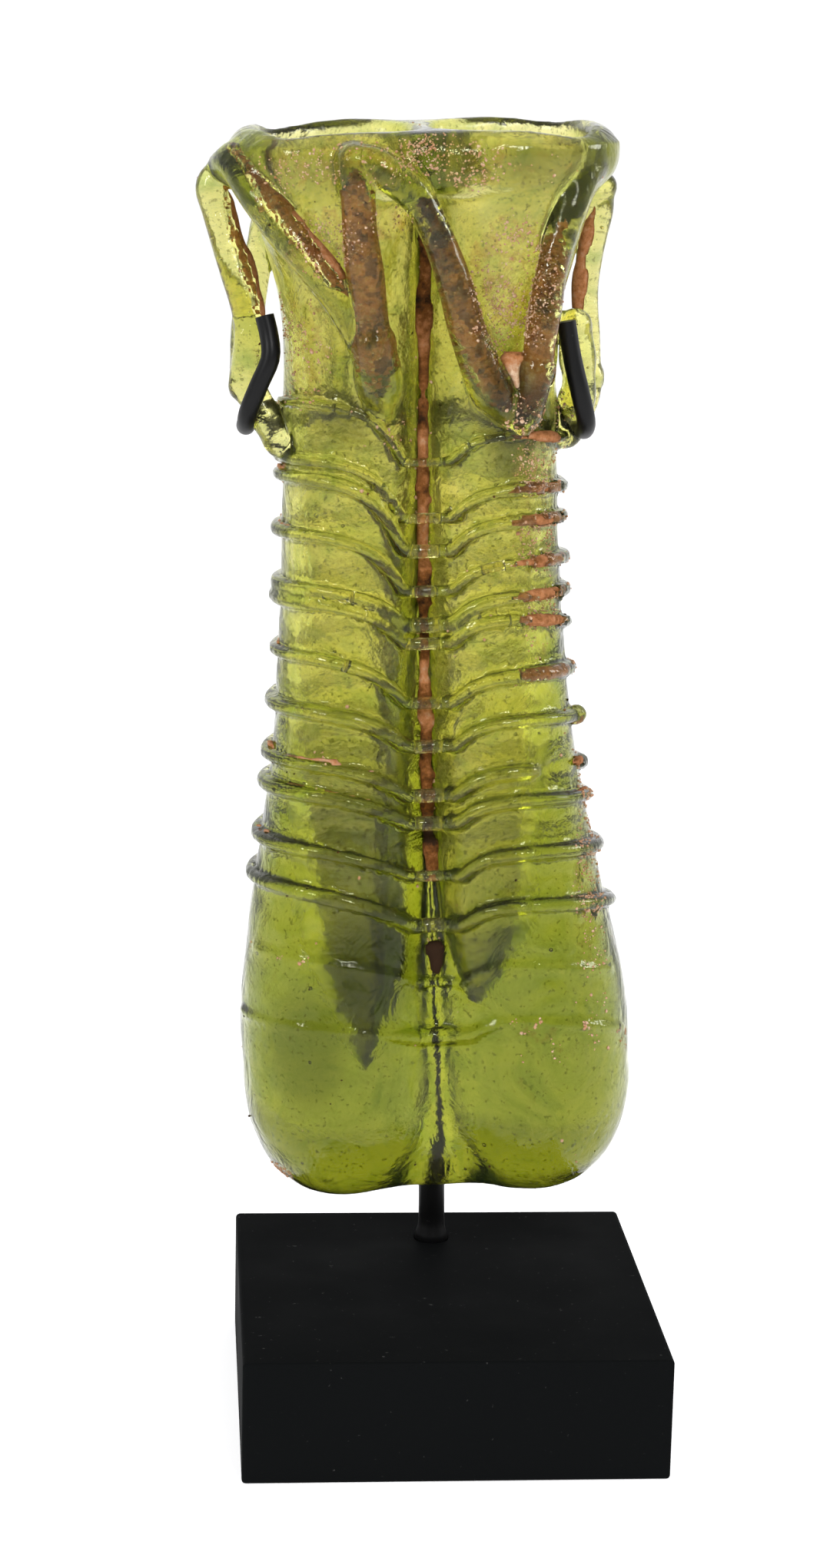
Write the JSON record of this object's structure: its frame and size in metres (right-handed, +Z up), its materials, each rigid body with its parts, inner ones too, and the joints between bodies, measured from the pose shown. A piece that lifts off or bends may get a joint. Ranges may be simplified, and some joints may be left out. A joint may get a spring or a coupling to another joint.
{
  "type": "roman glass bottle on display stand",
  "caption": "Double-tube late Roman glass cosmetic bottle with spiral thread and openwork zigzag trail, held by a hooked rod on a square foot.",
  "frame": {"origin": "centre of the square foot's underside", "axes": "+Z up along the rod, +X to the right and +Y away from a viewer in front of the bottle"},
  "size_m": [0.0536, 0.048, 0.1489],
  "materials": {
    "glass": "clear olive green glass, weathered, with soil in its grooves",
    "foot": "satin black",
    "rod": "satin black paint"
  },
  "bodies": {
    "root": {"glass_bottle": "glass", "stand_base": "foot", "stand_post": "rod"}
  },
  "joints": []
}
